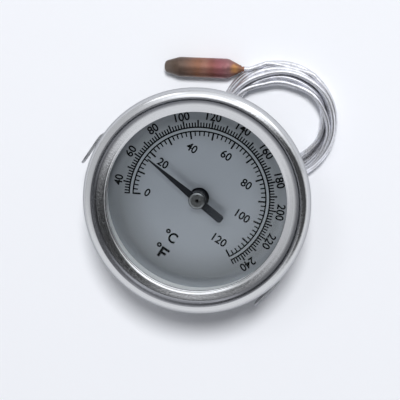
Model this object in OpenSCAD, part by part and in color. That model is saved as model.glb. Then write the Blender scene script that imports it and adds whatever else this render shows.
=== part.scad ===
// Capillary tube thermometer: a round panel gauge whose sensing bulb sits at the end of a long thin tube.
// Units are millimetres. The origin is on the table under the gauge's axis, +Z points out of the dial,
// and +Y points to the 12 o'clock of the dial. Heights are stacked up from the foot of the outlet socket.

/* [Bezel] */
// Outside diameter of the bezel, over its rolled bead
bezel_d = 60; // [56:0.5:66]
// Width of the bezel's face, from its outer edge to the opening
face_w = 6.3; // [6:0.1:7]
// Thickness of the bezel's sheet
bezel_t = 0.5; // [0.4:0.05:0.7]
// Radius of the rolled bead's outer surface
bead_r = 2.45; // [2.2:0.05:2.6]
// Height of the bead's crest over the lip on the glass
bead_rise = 1.7; // [1.5:0.05:1.9]
// Lean of the face that runs out from the lip, in degrees
face_lean = 8; // [4:1:12]
// Lean of the wall between the face and the bead, in degrees
wall_lean = 52; // [45:1:58]
// Width of the gap between the crimp behind the flange and the case
crimp_gap = 0.65; // [0.3:0.05:1.4]
// How far the bezel stands out past the case flange
flange_in = 1.4; // [1.2:0.05:1.6]

/* [Case] */
// How far the bezel stands out past the case, so a 60 mm bezel goes with a 52 mm case
rim_w = 4; // [3.6:0.1:4.6]
// Thickness of the case's sheet
case_wall = 0.8; // [0.6:0.05:1]
// Radius of the drawn corner at the back of the case
case_corner = 1.8; // [1.4:0.1:3]
// How far the rolled groove reaches in, to make the ledge that carries the dial
ledge_w = 0.9; // [0.8:0.05:1.2]

/* [Window] */
// Thickness of the glass
glass_t = 1.5; // [1:0.1:2]
// How far the glass stops short of the case flange's edge
glass_in = 1.4; // [1.2:0.05:1.7]
// Thickness of the rubber gasket under the glass
gasket_t = 0.5; // [0.4:0.05:0.8]
// Wall of the spacer ring between the dial and the gasket
spacer_t = 0.5; // [0.4:0.05:0.7]

/* [Dial and pointer] */
// Thickness of the dial plate
dial_t = 0.5; // [0.4:0.05:0.8]
// Diameter of the hole in the middle of the dial
dial_hole_d = 5.4; // [5.2:0.1:6]
// Free height between the dial and the pointer blade
pointer_lift = 3.7; // [2.5:0.1:5]
// Thickness of the pointer blade
pointer_t = 0.35; // [0.25:0.05:0.5]
// Distance between the pointer's tip and the edge of the opening
tip_clear = 6.7; // [6:0.1:9]
// Reach of the pointer's tail from the axis
tail_reach = 8.4; // [6:0.2:10]
// Chamfer at the corners of the tail
tail_chamfer = 0.45; // [0.2:0.05:0.7]
// Width of the tail
tail_w = 2.2; // [1.8:0.1:2.8]
// Width of the tip
tip_w = 0.3; // [0.2:0.05:0.5]
// Diameter of the pointer's boss
boss_d = 4.4; // [3.6:0.1:4.6]
// Diameter of the hub cap
cap_d = 4.6; // [4:0.1:5.2]
// Height of the hub cap
cap_h = 0.75; // [0.6:0.05:1]
// Temperature that the pointer shows at rest, in degrees Celsius
reading_c = 18.3; // [5:0.1:60]

/* [Movement] */
// Diameter of the arbor
arbor_d = 1.6; // [1.2:0.1:2]
// Diameter of the pivot at the foot of the arbor
pivot_d = 0.8; // [0.6:0.05:0.9]
// Height of the spiral's flat tube
spiral_h = 4; // [3:0.1:5]
// Thickness of the spiral's flat tube
spiral_t = 0.9; // [0.6:0.05:1.1]
// Distance between the spiral's outer end and the case wall
spiral_room = 10.6; // [9.8:0.1:12]
// Number of turns of the spiral
spiral_turns = 5; // [3:1:5]
// Diameter of the collet that holds the spiral's inner end
collet_d = 5.2; // [4.6:0.1:5.4]
// Thickness of the movement plate
plate_t = 1; // [0.8:0.1:1.5]
// Thickness of the bridge
bridge_t = 0.8; // [0.6:0.1:1.2]
// Distance between the pillars' middles and the case wall
pillar_room = 5.2; // [4.6:0.1:5.8]
// Diameter of a pillar
pillar_d = 3.5; // [3:0.1:4]
// Diameter of the screws' shanks
screw_d = 1.6; // [1.4:0.1:1.8]
// Diameter of the screws' heads
screw_head_d = 3.2; // [2.8:0.1:3.6]
// Height of the screws' heads
screw_head_h = 0.9; // [0.7:0.05:1.1]
// How deep the bridge screws go into the pillars
screw_grip = 2.4; // [2:0.1:3]
// Distance between the back screws' middles and the case wall
back_screw_room = 8.2; // [7.5:0.1:9.4]

/* [Outlet socket] */
// Height of the hexagon that stands proud of the case back
socket_stand = 7; // [6.8:0.1:9]
// Width across the flats of the hexagon
socket_af = 12; // [11:0.5:13]
// Diameter of the neck that goes through the case back
neck_d = 8; // [7.6:0.1:9]
// Height of the nut inside the case
nut_h = 1.8; // [1.5:0.1:2.5]
// Width across the flats of the nut
nut_af = 11; // [10.5:0.5:13]
// Height of the side port over the table
port_z = 3.2; // [2.5:0.1:4]

/* [Spring clips] */
// Thickness of the clips' spring steel
clip_t = 0.45; // [0.35:0.05:0.6]
// Height of the foot on the case wall
clip_foot_h = 7; // [6:0.1:7.2]
// Height of the free leaf
clip_leaf_h = 5; // [4:0.1:6]
// How far the free leaf stands out past the bezel
clip_reach = 1.1; // [0.4:0.1:2]
// Length of the free leaf past its last bend
clip_leaf_l = 9.3; // [6:0.1:11]
// Diameter of the rivets' shanks
rivet_d = 1.4; // [1:0.1:1.6]

/* [Capillary and bulb] */
// Diameter of the capillary tube
capillary_d = 1.4; // [1.2:0.05:1.6]
// Outside radius of the coil
coil_r_out = 16.7; // [15.5:0.1:16.8]
// Inside radius of the coil
coil_r_in = 10.3; // [8:0.1:12]
// Height of the coil
coil_h = 5.4; // [3:0.1:5.6]
// Diameter of the bulb
bulb_d = 5.4; // [4.8:0.1:6.4]
// Length of the bulb's full cylinder
bulb_body_l = 13.4; // [10:0.1:40]
// Length of the tapered nose
bulb_nose_l = 4.1; // [3:0.1:6]
// Diameter of the nose's blunt end
bulb_nose_d = 3.5; // [2.8:0.1:4]
// Length of the swaged neck
bulb_neck_l = 3.3; // [2.4:0.1:4]
// Diameter of the brazed sleeve on the neck
bulb_sleeve_d = 2.1; // [2:0.1:2.8]

/* [Hidden] */
$fn = 96;
// Clearances: parts that slip over each other, parts that turn in each other, and parts that only lie close
slip = 0.05;
running = 0.05;
near_by = 0.2;
tiny = 0.01;

// Heights, from the table up
z_back = socket_stand;
z_floor = z_back + case_wall;
z_plate = z_floor + plate_t;
z_nut = z_plate + nut_h;
neck_over = 0.4;
z_neck = z_nut + neck_over;
run_bend = 1.3;
run_rise = 0.1;
z_run = z_neck + run_rise + run_bend;
z_spiral = z_run + capillary_d / 2 + 0.3;
z_bridge = z_spiral + spiral_h + 0.6;
z_bridge_top = z_bridge + bridge_t;
head_clear = 0.7;
z_dial = z_bridge_top + screw_head_h + head_clear;
z_dial_top = z_dial + dial_t;
z_pointer = z_dial_top + pointer_lift;
z_pointer_top = z_pointer + pointer_t;
z_cap = z_pointer_top + cap_h;
glass_clear = 0.4;
z_glass = z_cap + glass_clear;
z_glass_top = z_glass + glass_t;
z_flange_top = z_glass - gasket_t;
z_flange = z_flange_top - case_wall;
z_lip = z_glass_top + bezel_t;

// Radii, from the axis out
bezel_r = bezel_d / 2;
opening_r = bezel_r - face_w;
case_r = bezel_r - rim_w;
case_in = case_r - case_wall;
ridge_in = case_in - ledge_w;
bead_at = bezel_r - bead_r;
bead_z = z_lip + bead_rise - bead_r;
flange_r = bezel_r - flange_in;
glass_r = flange_r - glass_in;
skirt_in = flange_r + slip;
skirt_r = skirt_in + bezel_t;
crimp_in = case_r + crimp_gap;
dial_r = case_in - near_by;
spacer_r = case_in - 2 * slip;
pointer_reach = opening_r - tip_clear;
neck_r = neck_d / 2;
arbor_r = arbor_d / 2;
spiral_r = case_in - spiral_room;
spiral_in = collet_d / 2 + slip + spiral_t / 2;
spiral_pitch = (spiral_r - spiral_in) / spiral_turns;
pillar_at = case_in - pillar_room;
back_screw_at = case_in - back_screw_room;

// The capillary's way through the socket, and where the spiral is anchored
run_at = 2.9;
anchor_angle = 180;
anchor_in = spiral_r - spiral_pitch + spiral_t / 2 + near_by;
anchor_out = spiral_r + 2.2;
anchor_w = 4;
port_deep = 2.2;

// The dial's scale: 120 degrees Celsius over 240 degrees of arc, with 60 at 12 o'clock
scale_top_c = 60;
deg_per_c = 2;
pointer_angle = 90 + (scale_top_c - reading_c) * deg_per_c;

// The clips: mirror images about an axis a little off the dial's vertical
clip_axis = 83.6;
clip_half = 94.5;
foot_from = 20;
foot_to = 46;
rivet_angles = [27, 39];
clip_bend_at = -1.4;
leaf_down = 1.6;
z_clip = z_dial - 5.4;
z_rivet = z_clip + 1.7;
leaf_corner = 1.4;
foot_near = 9;
foot_slope = 4;

// The coil, and the bulb that lies beside it with its neck against the coil
coil_x = 6.3;
coil_y = 25.7;
coil_round = 1.3;
bulb_dir = 31;
bulb_at = 156.7;
bulb_stand = 0.6;
bulb_sleeve_l = 0.4;

// The lead's route over the table, from the side port to the coil
lead_route = [[4.2, 0, 3.2], [6.6, 0, 3.2], [9, 0, 3.2], [11.4, 0.4, 2.8], [13.8, 1.6, 2], [15.8, 3.6, 1.2],
    [17.4, 6.2, 0.8], [18.6, 9, 0.7], [19.5, 11.8, 0.7], [20.1, 14.2, 0.7], [20.5, 16.4, 0.7], [20.6, 17.6, 0.7]];
tube_sides = 8;

function arc(c, r, a0, a1, n) =
    [for (i = [0:n]) let (a = a0 + (a1 - a0) * i / n) [c[0] + r * cos(a), c[1] + r * sin(a)]];
function polar(r, a) = [r * cos(a), r * sin(a)];
function unit(v) = v / norm(v);

// Rings of points around a route, square to it, and the tube that they span
function way(p, i) = unit(p[min(i + 1, len(p) - 1)] - p[max(i - 1, 0)]);
function side(d) = unit(cross(d, [0, 0, 1]));
function ring(p, i, r) = let (d = way(p, i), s = side(d), u = cross(s, d))
    [for (k = [0:tube_sides - 1]) let (a = 360 * (k + 0.5) / tube_sides) p[i] + r * (cos(a) * s + sin(a) * u)];

module tube(route, r) {
    n = tube_sides;
    last = (len(route) - 1) * n;
    points = [for (i = [0:len(route) - 1]) each ring(route, i, r)];
    walls = [for (i = [0:len(route) - 2], k = [0:n - 1])
        [i * n + k, i * n + (k + 1) % n, (i + 1) * n + (k + 1) % n, (i + 1) * n + k]];
    start = [for (k = [n - 1:-1:0]) k];
    end = [for (k = [0:n - 1]) last + k];
    polyhedron(points, concat(walls, [start], [end]));
}

// The bezel: a spun ring, from its lip out along the face, up the wall, over the bead and in under the flange
cove_r = 0.8;
brow_r = 0.3;
brow_at = 87;
bead_end = -30;
lip_round = 0.3;

module bezel() {
    crest = z_lip + bead_rise;
    face_from = [opening_r + lip_round, z_lip];
    wall_top = [bead_at - brow_r * sin(wall_lean), crest - brow_r + brow_r * cos(wall_lean)];
    corner_x = (wall_top[1] - face_from[1] - tan(wall_lean) * wall_top[0] + tan(face_lean) * face_from[0])
        / (tan(face_lean) - tan(wall_lean));
    corner = [corner_x, face_from[1] + tan(face_lean) * (corner_x - face_from[0])];
    cove_from = corner - cove_r * tan((wall_lean - face_lean) / 2) * [cos(face_lean), sin(face_lean)];
    inner_r = bead_r - bezel_t;
    brow_in = [bead_at + inner_r * cos(brow_at), bead_z + inner_r * sin(brow_at)];
    back_r = glass_r + slip;
    soft = bezel_t / 2;
    color("silver") rotate_extrude($fn = 180) polygon(concat(
        [[opening_r, z_glass_top]],
        arc([opening_r + lip_round, z_lip - lip_round], lip_round, 180, 90 + face_lean, 5),
        arc(cove_from + cove_r * [-sin(face_lean), cos(face_lean)], cove_r, face_lean - 90, wall_lean - 90, 6),
        arc([bead_at, crest - brow_r], brow_r, 90 + wall_lean, 95, 5),
        arc([bead_at, bead_z], bead_r, 90, bead_end, 24),
        [[skirt_r, z_flange_top]],
        arc([skirt_r - soft, z_flange - bezel_t + soft], soft, 0, -90, 4),
        [[crimp_in, z_flange - bezel_t], [crimp_in, z_flange]],
        [[skirt_in, z_flange], [skirt_in, z_flange_top]],
        arc([bead_at, bead_z], inner_r, bead_end, brow_at, 18),
        [[back_r, brow_in[1] - (brow_in[0] - back_r) * tan(wall_lean)], [back_r, z_glass_top]]));
}

module glass() {
    edge = 0.2;
    color("lightcyan", 0.35) rotate_extrude($fn = 120) polygon([[0, z_glass], [glass_r - edge, z_glass],
        [glass_r, z_glass + edge], [glass_r, z_glass_top - edge], [glass_r - edge, z_glass_top], [0, z_glass_top]]);
}

module ring_of(r_in, r_out, z, h) {
    translate([0, 0, z]) difference() {
        cylinder(r = r_out, h = h, $fn = 120);
        translate([0, 0, -1]) cylinder(r = r_in, h = h + 2, $fn = 120);
    }
}

module glass_gasket() {
    color("dimgray") ring_of(spacer_r - spacer_t, glass_r, z_flange_top, gasket_t);
}

module spacer_ring() {
    color("gainsboro") ring_of(spacer_r - spacer_t, spacer_r, z_dial_top, z_flange_top - z_dial_top);
}

module dial() {
    color("darkgray") ring_of(dial_hole_d / 2, dial_r, z_dial, dial_t);
}

// The case: a drawn cup with a rolled groove whose inner side carries the dial, and a flange in front
module case_profile() {
    step = 1.3;
    groove = z_dial - step;
    polygon(concat(
        [[neck_r + slip, z_back]],
        arc([case_r - case_corner, z_back + case_corner], case_corner, -90, 0, 8),
        [[case_r, groove - ledge_w], [ridge_in + case_wall, groove], [ridge_in + case_wall, z_dial - case_wall],
            [case_r, z_dial - case_wall], [case_r, z_flange], [flange_r, z_flange], [flange_r, z_flange_top],
            [case_in, z_flange_top], [case_in, z_dial], [ridge_in, z_dial], [ridge_in, groove],
            [case_in, groove - ledge_w]],
        arc([case_r - case_corner, z_back + case_corner], case_corner - case_wall, 0, -90, 8),
        [[neck_r + slip, z_floor]]));
}

module case_cup() {
    color("lightsteelblue") difference() {
        rotate_extrude($fn = 180) case_profile();
        back_screw_holes(screw_d / 2 + slip);
        rivet_holes();
    }
}

module back_screw_holes(r) {
    for (a = [30, 150, 270]) rotate(a) translate([back_screw_at, 0, z_back - 1])
        cylinder(r = r, h = case_wall + plate_t + 2, $fn = 32);
}

module rivet_holes() {
    for (m = [0, 1]) clip_place(m) for (a = rivet_angles) rotate(a) translate([case_in - rivet_d, 0, z_rivet])
        rotate([0, 90, 0]) cylinder(d = rivet_d + 2 * slip, h = 2 * rivet_d + case_wall + clip_t, $fn = 32);
}

// The pointer: a flat blade with a chamfered tail, and the boss that is pressed on the arbor
module pointer() {
    chamfer = tail_chamfer;
    root_w = tail_w * 0.95;
    color("black") rotate(pointer_angle) difference() {
        union() {
            translate([0, 0, z_pointer]) linear_extrude(pointer_t) union() {
                polygon([[-tail_reach, chamfer - tail_w / 2], [chamfer - tail_reach, -tail_w / 2], [0, -root_w / 2],
                    [pointer_reach - tip_w / 2, -tip_w / 2], [pointer_reach, 0],
                    [pointer_reach - tip_w / 2, tip_w / 2], [0, root_w / 2],
                    [chamfer - tail_reach, tail_w / 2], [-tail_reach, tail_w / 2 - chamfer]]);
                circle(d = boss_d, $fn = 64);
            }
            translate([0, 0, z_bridge_top + bush_flange + near_by])
                cylinder(d = boss_d, h = z_pointer - z_bridge_top - bush_flange - near_by, $fn = 64);
        }
        translate([0, 0, z_bridge]) cylinder(r = arbor_r + tiny, h = z_glass - z_bridge, $fn = 32);
    }
}

module hub_cap() {
    edge = 0.22;
    dimple_r = 0.4;
    dimple_deep = 0.3;
    color("gray") rotate_extrude($fn = 64) polygon([[arbor_r + tiny, z_pointer_top], [cap_d / 2, z_pointer_top],
        [cap_d / 2, z_cap - edge], [cap_d / 2 - edge, z_cap], [dimple_r, z_cap], [0, z_cap - dimple_deep],
        [0, z_pointer_top + arbor_over + tiny], [arbor_r + tiny, z_pointer_top + arbor_over + tiny]]);
}

// The arbor: a turned shaft with a pivot below and the collet for the spiral's inner end
arbor_over = 0.25;
bush_flange = 0.4;
pivot_in = 0.8;
bearing_up = 0.3;
module arbor() {
    z_pivot = z_neck + bearing_up;
    color("lightgray") rotate_extrude($fn = 64) polygon([[0, z_pivot - pivot_in], [pivot_d / 2, z_pivot - pivot_in],
        [pivot_d / 2, z_pivot + near_by], [arbor_r, z_pivot + near_by], [arbor_r, z_spiral + near_by],
        [collet_d / 2, z_spiral + near_by], [collet_d / 2, z_spiral + spiral_h - near_by],
        [arbor_r, z_spiral + spiral_h - near_by], [arbor_r, z_pointer_top + arbor_over],
        [0, z_pointer_top + arbor_over]]);
}

module lower_bearing() {
    color("goldenrod") rotate_extrude($fn = 48) polygon([[0, z_neck - bearing_deep], [bearing_r, z_neck - bearing_deep],
        [bearing_r, z_neck + bearing_up], [pivot_d / 2 + running, z_neck + bearing_up],
        [pivot_d / 2 + running, z_neck + bearing_up - pivot_in - near_by],
        [0, z_neck + bearing_up - pivot_in - near_by]]);
}

// The spiral: a flat tube that the filling unwinds, held outside by the anchor and inside by the collet
spiral_step = 10;
function spiral_at(t, off) =
    let (a = anchor_angle + t * 360, r = spiral_in + spiral_pitch * t + off) polar(r, a);
module bourdon_spiral() {
    n = spiral_turns * 360 / spiral_step;
    color("peru") translate([0, 0, z_spiral]) linear_extrude(spiral_h) polygon(concat(
        [for (i = [0:n]) spiral_at(i / n * spiral_turns, spiral_t / 2)],
        [for (i = [n:-1:0]) spiral_at(i / n * spiral_turns, -spiral_t / 2)]));
}

module anchor_block() {
    top = z_spiral + spiral_h;
    color("goldenrod") difference() {
        rotate(anchor_angle) translate([anchor_in, -anchor_w / 2, z_plate])
            cube([anchor_out - anchor_in, anchor_w, top - z_plate]);
        rotate(anchor_angle) translate([0, 0, z_spiral - slip]) rotate(-30) rotate_extrude(angle = 30 + tiny, $fn = 96)
            translate([spiral_r - spiral_t / 2 - 0.1, 0]) square([spiral_t + 0.2, spiral_h + 1]);
        rotate(anchor_angle) translate([anchor_in - 1, 0, z_run]) rotate([0, 90, 0])
            cylinder(d = capillary_d + 2 * slip, h = 2, $fn = 32);
    }
}

// The capillary inside: up out of the neck, over a bend, and out under the spiral to the anchor
module inner_capillary() {
    r = capillary_d / 2;
    down = 1;
    color("silver") rotate(anchor_angle) {
        translate([run_at, 0, z_neck - down]) cylinder(r = r, h = down + run_rise, $fn = 32);
        translate([run_at + run_bend, 0, z_neck + run_rise]) rotate([90, 0, 0]) rotate([0, 0, 90])
            rotate_extrude(angle = 90, $fn = 64) translate([run_bend, 0]) circle(r = r, $fn = 32);
        translate([run_at + run_bend, 0, z_run]) rotate([0, 90, 0])
            cylinder(r = r, h = anchor_in + 0.8 - run_at - run_bend, $fn = 32);
    }
}

module movement_plate() {
    plate_r = case_r - case_corner - 0.4;
    window_r = 3.6;
    window_at = 12.5;
    color("khaki") difference() {
        translate([0, 0, z_floor]) cylinder(r = plate_r, h = plate_t, $fn = 120);
        translate([0, 0, z_floor - 1]) cylinder(r = neck_r + slip, h = plate_t + 2, $fn = 64);
        back_screw_holes(screw_d / 2 + slip);
        for (a = [90, 210, 330]) rotate(a) translate([window_at, 0, z_floor - 1])
            cylinder(r = window_r, h = plate_t + 2, $fn = 48);
    }
}

module pillar_places() {
    for (a = [90, 210, 330]) rotate(a) translate([pillar_at, 0, 0]) children();
}

module pillars() {
    tapped = screw_grip + 0.8;
    color("goldenrod") pillar_places() difference() {
        translate([0, 0, z_plate]) cylinder(d = pillar_d, h = z_bridge - z_plate, $fn = 48);
        translate([0, 0, z_bridge - tapped]) cylinder(d = screw_d + 2 * slip, h = tapped + 1, $fn = 32);
    }
}

module bridge() {
    hub_r = 4.4;
    arm_w = 5;
    color("khaki") difference() {
        translate([0, 0, z_bridge]) linear_extrude(bridge_t) union() {
            circle(r = hub_r, $fn = 64);
            for (a = [90, 210, 330]) rotate(a) {
                translate([0, -arm_w / 2]) square([pillar_at, arm_w]);
                translate([pillar_at, 0]) circle(d = arm_w, $fn = 48);
            }
        }
        translate([0, 0, z_bridge - 1]) cylinder(r = bush_r + slip, h = bridge_t + 2, $fn = 48);
        pillar_places() translate([0, 0, z_bridge - 1]) cylinder(d = screw_d + 2 * slip, h = bridge_t + 2, $fn = 32);
    }
}

bush_r = 1.8;
module upper_bush() {
    flange_over = 0.7;
    color("goldenrod") rotate_extrude($fn = 48) polygon([[arbor_r + running, z_bridge - near_by],
        [bush_r, z_bridge - near_by], [bush_r, z_bridge_top], [bush_r + flange_over, z_bridge_top],
        [bush_r + flange_over, z_bridge_top + bush_flange], [arbor_r + running, z_bridge_top + bush_flange]]);
}

// A slotted pan-head screw, its head from z = 0 up and its shank below
module screw(shank) {
    slot_w = 0.4;
    slot_deep = 0.4;
    edge = 0.25;
    difference() {
        union() {
            rotate_extrude($fn = 48) polygon([[0, 0], [screw_head_d / 2, 0], [screw_head_d / 2, screw_head_h - edge],
                [screw_head_d / 2 - edge, screw_head_h], [0, screw_head_h]]);
            translate([0, 0, -shank]) cylinder(d = screw_d, h = shank, $fn = 32);
        }
        translate([-screw_head_d, -slot_w / 2, screw_head_h - slot_deep]) cube([2 * screw_head_d, slot_w, 1]);
    }
}

module bridge_screws() {
    color("lightgray") pillar_places() translate([0, 0, z_bridge_top]) rotate(25) screw(bridge_t + screw_grip);
}

module back_screws() {
    color("lightgray") for (a = [30, 150, 270]) rotate(a) translate([back_screw_at, 0, z_back])
        rotate([180, 0, 0]) rotate(35) screw(case_wall + plate_t);
}

// The outlet socket: a hexagon with a side port outside, and a neck with the bearing seat inside
bearing_r = 1.5;
bearing_deep = 1.5;
module outlet_socket() {
    af = socket_af / 2;
    hex_r = af / cos(30);
    edge = 0.6;
    color("darkgoldenrod") difference() {
        union() {
            intersection() {
                rotate(30) cylinder(r = hex_r, h = socket_stand, $fn = 6);
                rotate_extrude($fn = 96) polygon([[0, 0], [af, 0], [af + 2 * edge, edge], [af + 2 * edge, socket_stand],
                    [0, socket_stand]]);
            }
            cylinder(d = neck_d, h = z_neck, $fn = 64);
        }
        translate([af - port_deep, 0, port_z]) rotate([0, 90, 0])
            cylinder(d = capillary_d + 2 * slip, h = port_deep + 1, $fn = 32);
        translate([0, 0, z_neck - bearing_deep]) cylinder(r = bearing_r + tiny, h = bearing_deep + 1, $fn = 48);
        rotate(anchor_angle) translate([run_at, 0, z_neck - 2]) cylinder(d = capillary_d + 2 * slip, h = 3, $fn = 32);
    }
}

module socket_nut() {
    nut_r = nut_af / 2 / cos(30);
    edge = 0.5;
    color("darkgoldenrod") translate([0, 0, z_plate]) difference() {
        intersection() {
            cylinder(r = nut_r, h = nut_h, $fn = 6);
            rotate_extrude($fn = 96) polygon([[0, 0], [nut_r, 0], [nut_r, nut_h - edge], [nut_af / 2 - tiny, nut_h],
                [0, nut_h]]);
        }
        translate([0, 0, -1]) cylinder(r = neck_r + slip, h = nut_h + 2, $fn = 64);
    }
}

// A spring clip: a foot that hugs the case wall, a bend outwards, and a free leaf past the bezel's edge
module clip_place(m) {
    rotate(clip_axis - (m == 0 ? clip_half : -clip_half)) mirror([0, m, 0]) children();
}

function offset_path(p, off) = [for (i = [0:len(p) - 1])
    let (d = unit(p[min(i + 1, len(p) - 1)] - p[max(i - 1, 0)])) p[i] + off * [-d[1], d[0]]];

module clip() {
    mid = case_r + slip + clip_t / 2;
    leaf_x = bezel_r + clip_reach - clip_t / 2;
    lift = leaf_x - mid;
    foot = arc([0, 0], mid, foot_to, foot_from, 14);
    path = concat(foot, [polar(mid, foot_from - 5) + [lift * 0.03, 0], polar(mid, foot_from - 10) + [lift * 0.16, 0],
        polar(mid, foot_from - 15) + [lift * 0.42, 0], polar(mid, foot_from - 19) + [lift * 0.72, 0],
        [leaf_x - 0.1, clip_bend_at], [leaf_x, clip_bend_at - leaf_down], [leaf_x, clip_bend_at - clip_leaf_l]]);
    back = [for (i = [len(path) - 1:-1:0]) offset_path(path, -clip_t / 2)[i]];
    difference() {
        intersection() {
            translate([0, 0, z_clip]) linear_extrude(clip_foot_h) polygon(concat(offset_path(path, clip_t / 2), back));
            rotate([90, 0, 90]) linear_extrude(bezel_r * 2) clip_side(mid * sin(foot_to));
        }
        for (a = rivet_angles) rotate(a) translate([case_in, 0, z_rivet]) rotate([0, 90, 0])
            cylinder(d = rivet_d + 2 * slip, h = 2 * rivet_d + case_wall, $fn = 32);
    }
}

// The clip seen from its side: the foot, and the narrower leaf with its round end
module clip_side(foot_end) {
    c = leaf_corner;
    top = z_clip + clip_foot_h;
    low = top - clip_leaf_h;
    tip = clip_bend_at - clip_leaf_l;
    polygon(concat(
        arc([tip + c, top - c], c, 180, 90, 6), arc([foot_end - c, top - c], c, 90, 0, 6),
        arc([foot_end - c, z_clip + c], c, 0, -90, 6), arc([foot_near, z_clip + c], c, -90, -135, 4),
        [[foot_near - foot_slope, low]], arc([tip + c, low + c], c, 270, 180, 6)));
}

module clip_right() {
    color("slategray") clip_place(0) clip();
}

module clip_left() {
    color("slategray") clip_place(1) clip();
}

module clip_rivets() {
    head_r = rivet_d;
    head_h = 0.7;
    color("gray") for (m = [0, 1]) clip_place(m) for (a = rivet_angles) rotate(a) translate([0, 0, z_rivet])
        rotate([0, 90, 0]) rotate_extrude($fn = 48) polygon([[0, case_in - head_h], [head_r * 0.6, case_in - head_h],
            [head_r, case_in - 0.12], [rivet_d / 2, case_in - 0.12], [rivet_d / 2, case_r + clip_t + 2 * slip + 0.05],
            [head_r, case_r + clip_t + 2 * slip + 0.05], [head_r * 0.6, case_r + clip_t + head_h],
            [0, case_r + clip_t + head_h]]);
}

// The capillary outside, and the coil as the closed outer shape of its turns
module capillary_lead() {
    color("silver") tube(lead_route, capillary_d / 2);
}

module capillary_coil() {
    c = coil_round;
    color("silver") translate([coil_x, coil_y, 0]) rotate_extrude($fn = 120) polygon(concat(
        arc([coil_r_in + c, c], c, 270, 180, 4), arc([coil_r_in + c, coil_h - c], c, 180, 90, 4),
        arc([coil_r_out - c, coil_h - c], c, 90, 0, 4), arc([coil_r_out - c, c], c, 0, -90, 4)));
}

// The bulb: a copper tube with a blunt tapered nose, swaged down behind and brazed to the capillary
module bulb() {
    r = bulb_d / 2;
    nose = bulb_nose_d / 2;
    end_round = 1.2;
    soft = 3;
    at = [coil_x, coil_y] + polar(coil_r_out + bulb_stand, bulb_at);
    sleeve_at = -bulb_sleeve_l;
    neck_at = sleeve_at - bulb_neck_l;
    body_at = neck_at - bulb_body_l;
    nose_at = body_at - bulb_nose_l;
    nose_lean = atan((r - nose) / (bulb_nose_l - end_round));
    neck_lean = atan((r - bulb_sleeve_d / 2) / bulb_neck_l);
    color("chocolate") translate([at[0], at[1], r]) rotate(bulb_dir) rotate([0, 90, 0])
        rotate_extrude($fn = 72) polygon(concat(
            [[0, nose_at]], arc([nose - end_round, nose_at + end_round], end_round, -90, -nose_lean, 6),
            arc([r - soft, body_at + soft * tan(nose_lean / 2)], soft, -nose_lean, 0, 4),
            arc([r - soft, neck_at - soft * tan(neck_lean / 2)], soft, 0, neck_lean, 4),
            [[bulb_sleeve_d / 2, sleeve_at], [bulb_sleeve_d / 2, -0.2], [bulb_sleeve_d / 2 - 0.2, 0],
                [capillary_d / 2, 0], [capillary_d / 2, bulb_stand + 0.2], [0, bulb_stand + 0.2]]));
}

bezel();
glass();
glass_gasket();
spacer_ring();
dial();
case_cup();
pointer();
hub_cap();
arbor();
bourdon_spiral();
anchor_block();
inner_capillary();
movement_plate();
pillars();
bridge();
upper_bush();
lower_bearing();
bridge_screws();
back_screws();
outlet_socket();
socket_nut();
clip_left();
clip_right();
clip_rivets();
capillary_lead();
capillary_coil();
bulb();
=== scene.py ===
"""Looks for the capillary tube thermometer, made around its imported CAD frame.
Lengths are in millimetres, and MM turns them to Blender's metres."""

import math

import bmesh
import bpy
from mathutils import Matrix, Vector

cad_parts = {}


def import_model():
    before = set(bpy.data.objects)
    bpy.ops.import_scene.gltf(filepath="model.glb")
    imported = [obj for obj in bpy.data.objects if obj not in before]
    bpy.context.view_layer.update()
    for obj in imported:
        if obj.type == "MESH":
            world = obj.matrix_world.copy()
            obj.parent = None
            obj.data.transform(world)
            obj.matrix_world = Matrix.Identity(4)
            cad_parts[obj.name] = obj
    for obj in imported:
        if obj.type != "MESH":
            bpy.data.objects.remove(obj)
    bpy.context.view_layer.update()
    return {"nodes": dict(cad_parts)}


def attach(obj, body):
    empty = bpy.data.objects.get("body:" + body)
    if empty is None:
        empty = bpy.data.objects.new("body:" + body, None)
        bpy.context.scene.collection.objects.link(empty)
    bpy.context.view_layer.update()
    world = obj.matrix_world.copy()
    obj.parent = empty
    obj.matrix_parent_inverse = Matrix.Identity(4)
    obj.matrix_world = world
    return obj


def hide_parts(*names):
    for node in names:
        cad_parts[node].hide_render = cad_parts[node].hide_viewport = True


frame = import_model()
nodes = frame["nodes"]
scene = bpy.context.scene
MM = 0.001

# Sizes repeated from the CAD source
Z_DIAL = 20.9
POINTER_ANGLE = 173.4
POINTER_REACH = 17.0
CAPILLARY_R = 0.7
COIL = Vector((6.3, 25.7))
BULB_LENGTH = 21.6
BULB_END = Vector((-9.589, 32.543, 2.7))
BULB_DIR = Vector((math.cos(math.radians(31)), math.sin(math.radians(31)), 0))
LEAD = [(4.2, 0, 3.2), (6.6, 0, 3.2), (9, 0, 3.2), (11.4, 0.4, 2.8), (13.8, 1.6, 2), (15.8, 3.6, 1.2),
        (17.4, 6.2, 0.8), (18.6, 9, 0.7), (19.5, 11.8, 0.7), (20.1, 14.2, 0.7), (20.5, 16.4, 0.7)]

# Settings that many nodes share
TIMES = {"operation": "MULTIPLY"}
PLUS = {"operation": "ADD"}
MINUS = {"operation": "SUBTRACT"}
TIMES_PLUS = {"operation": "MULTIPLY_ADD"}
SMOOTH = {"interpolation_type": "SMOOTHSTEP"}
COLOUR = {"data_type": "RGBA"}


# Nodes and materials

def linear(hex_colour):
    """An sRGB hex colour as the linear values that a shader takes."""
    parts = [int(hex_colour[i:i + 2], 16) / 255 for i in (1, 3, 5)]
    return tuple(c / 12.92 if c <= 0.04045 else ((c + 0.055) / 1.055) ** 2.4 for c in parts) + (1.0,)


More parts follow.
